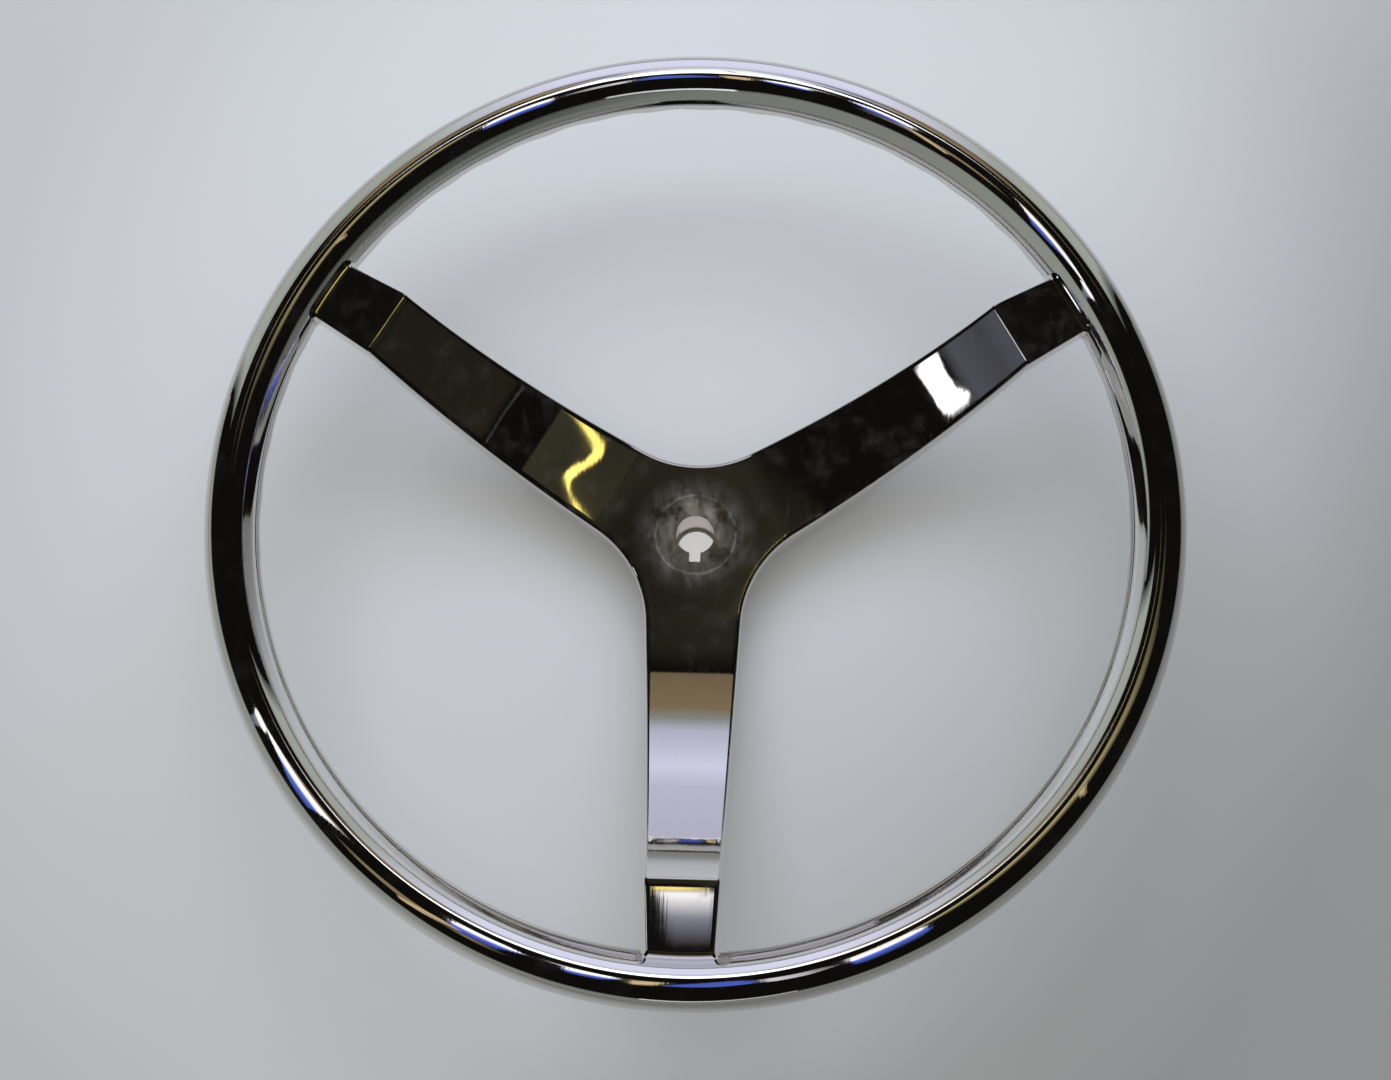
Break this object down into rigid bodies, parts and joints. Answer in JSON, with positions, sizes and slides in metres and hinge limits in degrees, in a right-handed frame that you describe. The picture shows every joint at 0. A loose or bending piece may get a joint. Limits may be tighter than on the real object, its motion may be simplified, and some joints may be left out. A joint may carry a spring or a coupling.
{
  "type": "boat steering wheel",
  "caption": "Round boat steering wheel: a steel tube ring with finger grips, carried by a dished sheet spider on a hub with a tapered, keyed bore.",
  "frame": {"origin": "centre of the boss's back face, on the bore's axis", "axes": "+Z along the bore's axis towards the helmsman, -Y along the lower arm and the keyway, +X to the helmsman's right"},
  "size_m": [0.3936, 0.3936, 0.0926],
  "materials": {
    "polished_steel": "mirror polished stainless steel",
    "turned_steel": "turned and buffed stainless steel",
    "weld_steel": "ground and buffed weld"
  },
  "bodies": {
    "root": {"rim_tube": "polished_steel", "spoke_spider": "polished_steel", "hub_boss": "turned_steel", "hub_weld": "weld_steel", "spoke_weld_lower": "weld_steel", "spoke_weld_right": "weld_steel", "spoke_weld_left": "weld_steel"}
  },
  "joints": []
}
